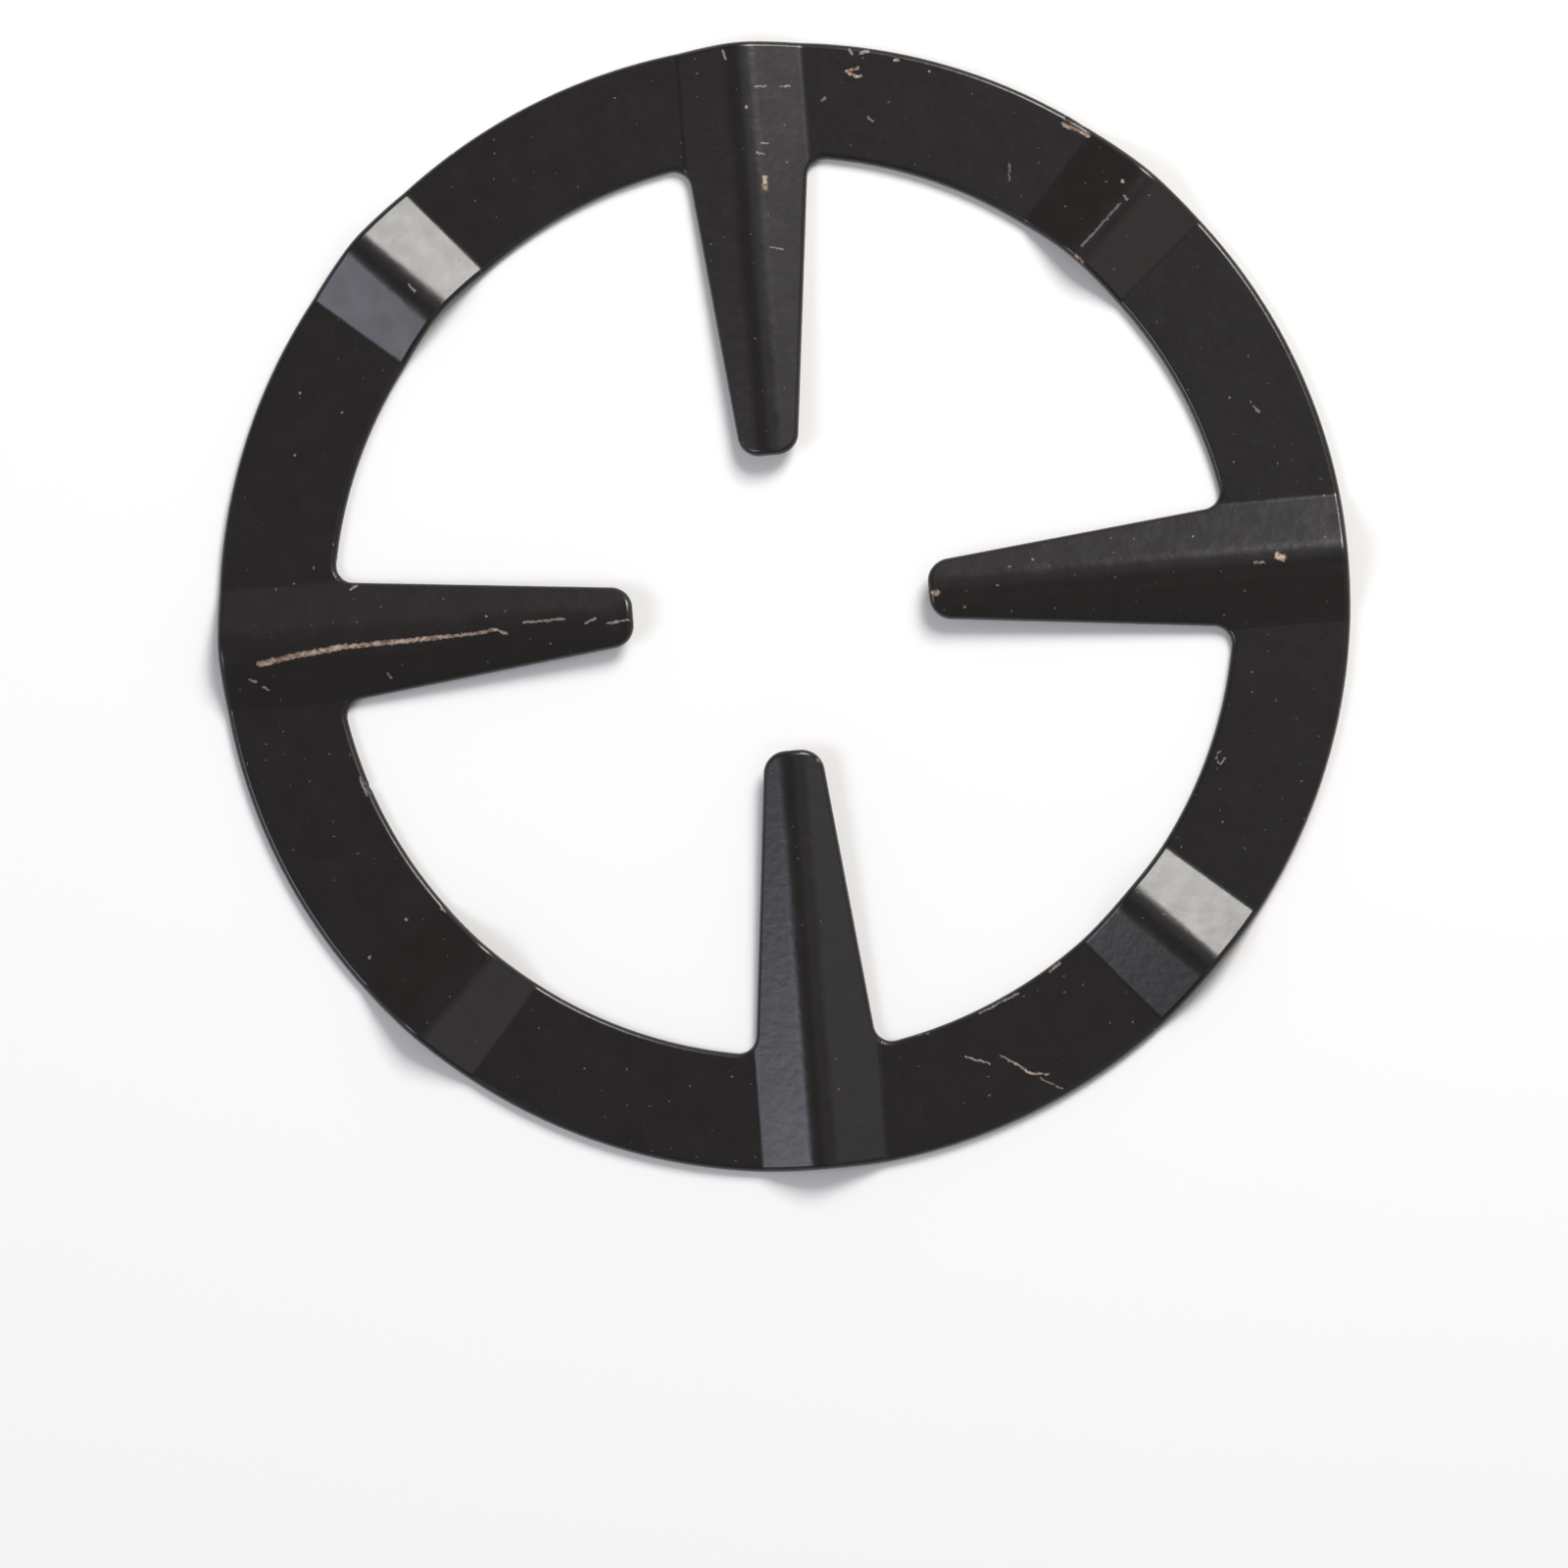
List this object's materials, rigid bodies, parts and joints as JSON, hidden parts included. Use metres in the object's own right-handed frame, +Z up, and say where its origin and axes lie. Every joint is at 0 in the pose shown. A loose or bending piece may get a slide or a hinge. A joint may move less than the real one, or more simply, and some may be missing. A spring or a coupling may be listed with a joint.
{
  "type": "stove reducer ring",
  "caption": "Flat black enamelled steel ring with tapered arms that reach towards its centre, stiffened by radial folds; lies on a gas hob's pan support to carry a small pot.",
  "frame": {"origin": "under the ring's centre, on the plane that the flats of the ring rest on", "axes": "+Z up, away from the hob, with the folds' crests on top; +X and +Y along the axes of two neighbouring arms"},
  "size_m": [0.14, 0.14, 0.0039],
  "materials": {
    "black_enamel": "glossy black vitreous enamel on pressed steel, worn and chipped at crests and rims"
  },
  "bodies": {
    "root": {"reducer_ring": "black_enamel"}
  },
  "joints": []
}
